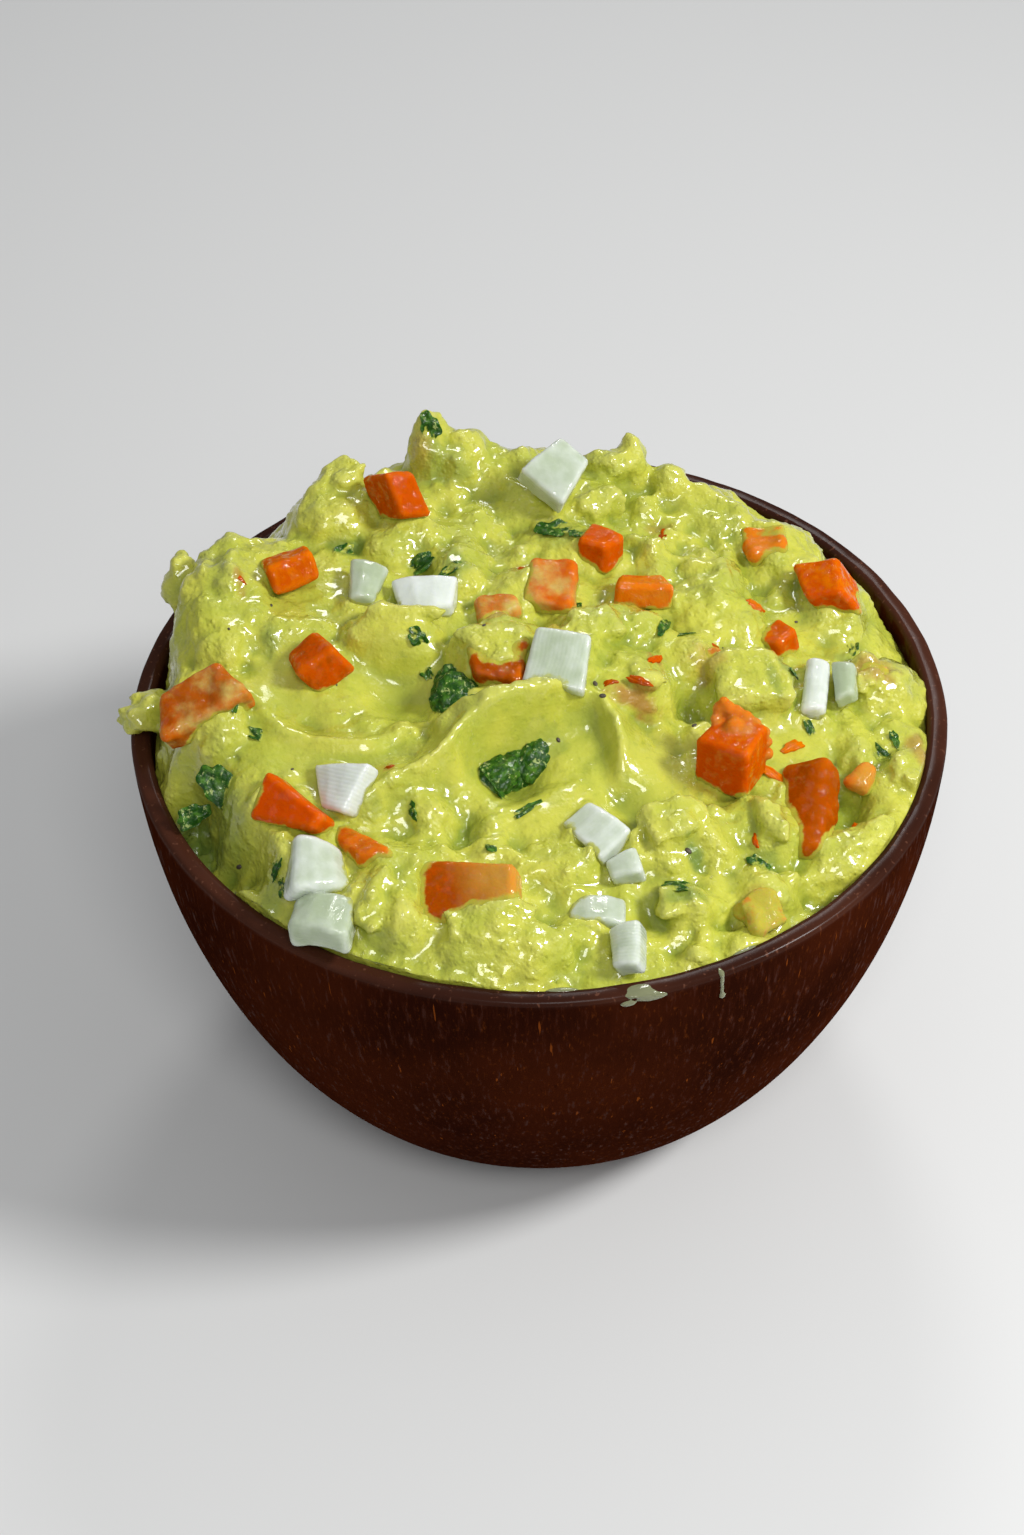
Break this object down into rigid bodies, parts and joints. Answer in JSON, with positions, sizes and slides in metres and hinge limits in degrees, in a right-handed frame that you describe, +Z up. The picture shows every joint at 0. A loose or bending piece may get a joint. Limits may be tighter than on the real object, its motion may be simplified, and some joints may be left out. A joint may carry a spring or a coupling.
{
  "type": "bowl of guacamole",
  "caption": "Turned dark wooden bowl heaped with chunky guacamole, with diced tomato and onion lying in its uneven top.",
  "frame": {"origin": "centre of the bowl's flat foot, on the surface that it stands on", "axes": "+Z up along the bowl's axis, -Y towards the front of the heap, +X to its right"},
  "size_m": [0.1248, 0.124, 0.0949],
  "materials": {
    "dark_wood": "oiled, satin",
    "guacamole": "moist",
    "tomato": "wet",
    "onion": "moist, translucent"
  },
  "bodies": {
    "root": {"bowl": "dark_wood", "guacamole": "guacamole", "tomato_01": "tomato", "tomato_02": "tomato", "tomato_03": "tomato", "tomato_04": "tomato", "tomato_05": "tomato", "tomato_06": "tomato", "tomato_07": "tomato", "tomato_08": "tomato", "tomato_09": "tomato", "tomato_10": "tomato", "tomato_11": "tomato", "tomato_12": "tomato", "tomato_13": "tomato", "tomato_14": "tomato", "tomato_15": "tomato", "tomato_16": "tomato", "tomato_17": "tomato", "tomato_18": "tomato", "tomato_19": "tomato", "tomato_20": "tomato", "tomato_21": "tomato", "onion_01": "onion", "onion_02": "onion", "onion_03": "onion", "onion_04": "onion", "onion_05": "onion", "onion_06": "onion", "onion_07": "onion", "onion_08": "onion", "onion_09": "onion", "onion_10": "onion", "onion_11": "onion", "onion_12": "onion", "onion_13": "onion"}
  },
  "joints": []
}
